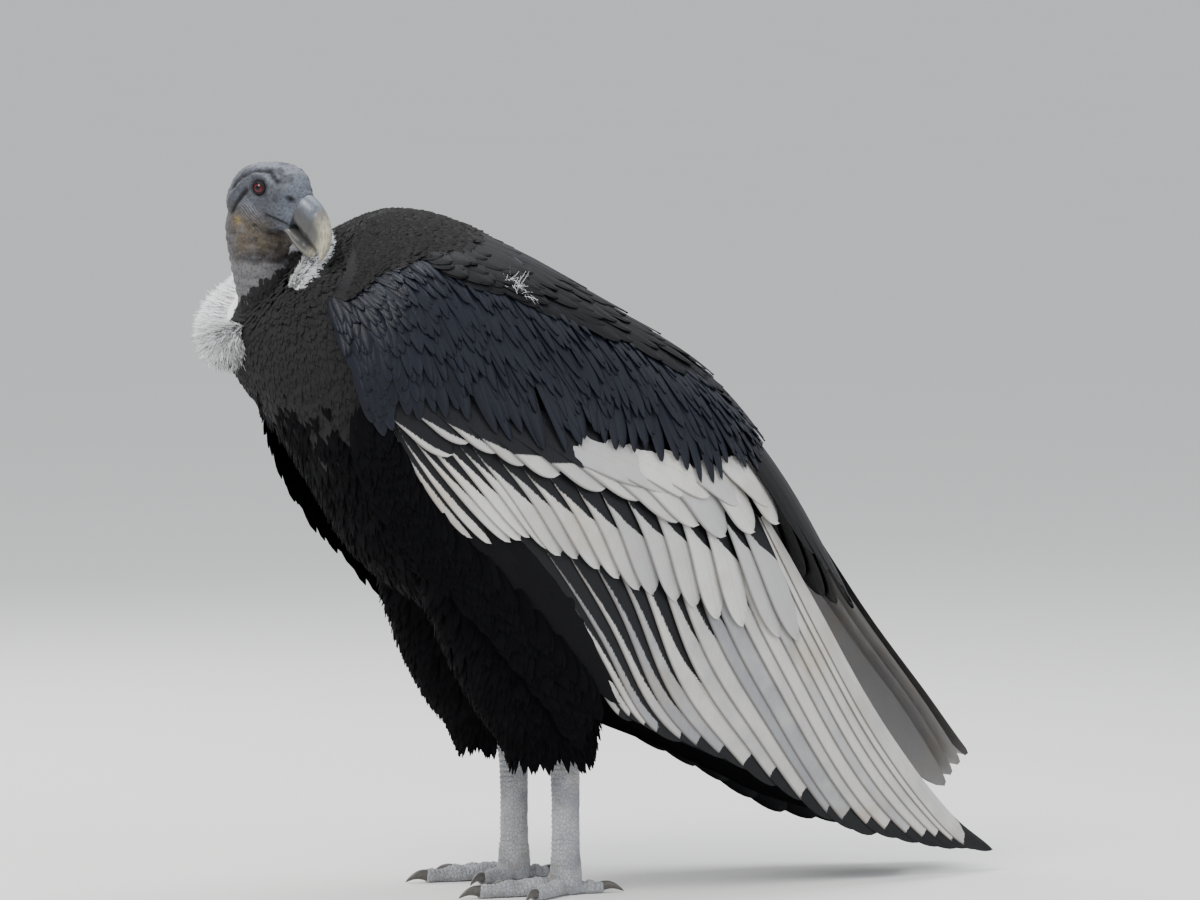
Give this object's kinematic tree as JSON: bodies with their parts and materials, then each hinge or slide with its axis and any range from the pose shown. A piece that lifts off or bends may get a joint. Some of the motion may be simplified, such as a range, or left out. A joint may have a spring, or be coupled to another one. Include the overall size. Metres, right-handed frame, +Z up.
{
  "type": "andean condor",
  "caption": "Life-size standing andean condor, still: wings folded and drooped, bare head turned back over its left side, white ruff.",
  "frame": {"origin": "centre of the bounding box's base, on the floor the bird stands on", "axes": "-Y the way the breast faces, +Y toward the tail, +X the bird's left, +Z up"},
  "size_m": [0.3292, 0.8372, 0.7302],
  "materials": {
    "bill_horn": "ivory horn, dark at its base",
    "claw_horn": "dark blunt claws",
    "eye_red": "wet red iris with a dark pupil",
    "leg_grey": "scaled grey skin",
    "skin_grey": "bare folded skin, blue-grey",
    "down_white": "soft white down",
    "plumage_black": "matt black contour and flight feathers",
    "plumage_white": "white outer vanes with black tips"
  },
  "bodies": {
    "root": {"bill_lower": "bill_horn", "bill_upper": "bill_horn", "claw_hind_left": "claw_horn", "claw_hind_right": "claw_horn", "claw_inner_left": "claw_horn", "claw_inner_right": "claw_horn", "claw_middle_left": "claw_horn", "claw_middle_right": "claw_horn", "claw_outer_left": "claw_horn", "claw_outer_right": "claw_horn", "eye_left": "eye_red", "eye_right": "eye_red", "foot_left": "leg_grey", "foot_right": "leg_grey", "head": "skin_grey", "neck": "skin_grey", "ruff": "down_white", "shank_left": "leg_grey", "shank_right": "leg_grey", "tail": "plumage_black", "thigh_left": "plumage_black", "thigh_right": "plumage_black", "torso": "plumage_black", "wing_coverts_left": "plumage_black", "wing_coverts_right": "plumage_black", "wing_primaries_left": "plumage_black", "wing_primaries_right": "plumage_black", "wing_secondaries_left": "plumage_white", "wing_secondaries_right": "plumage_white"}
  },
  "joints": []
}
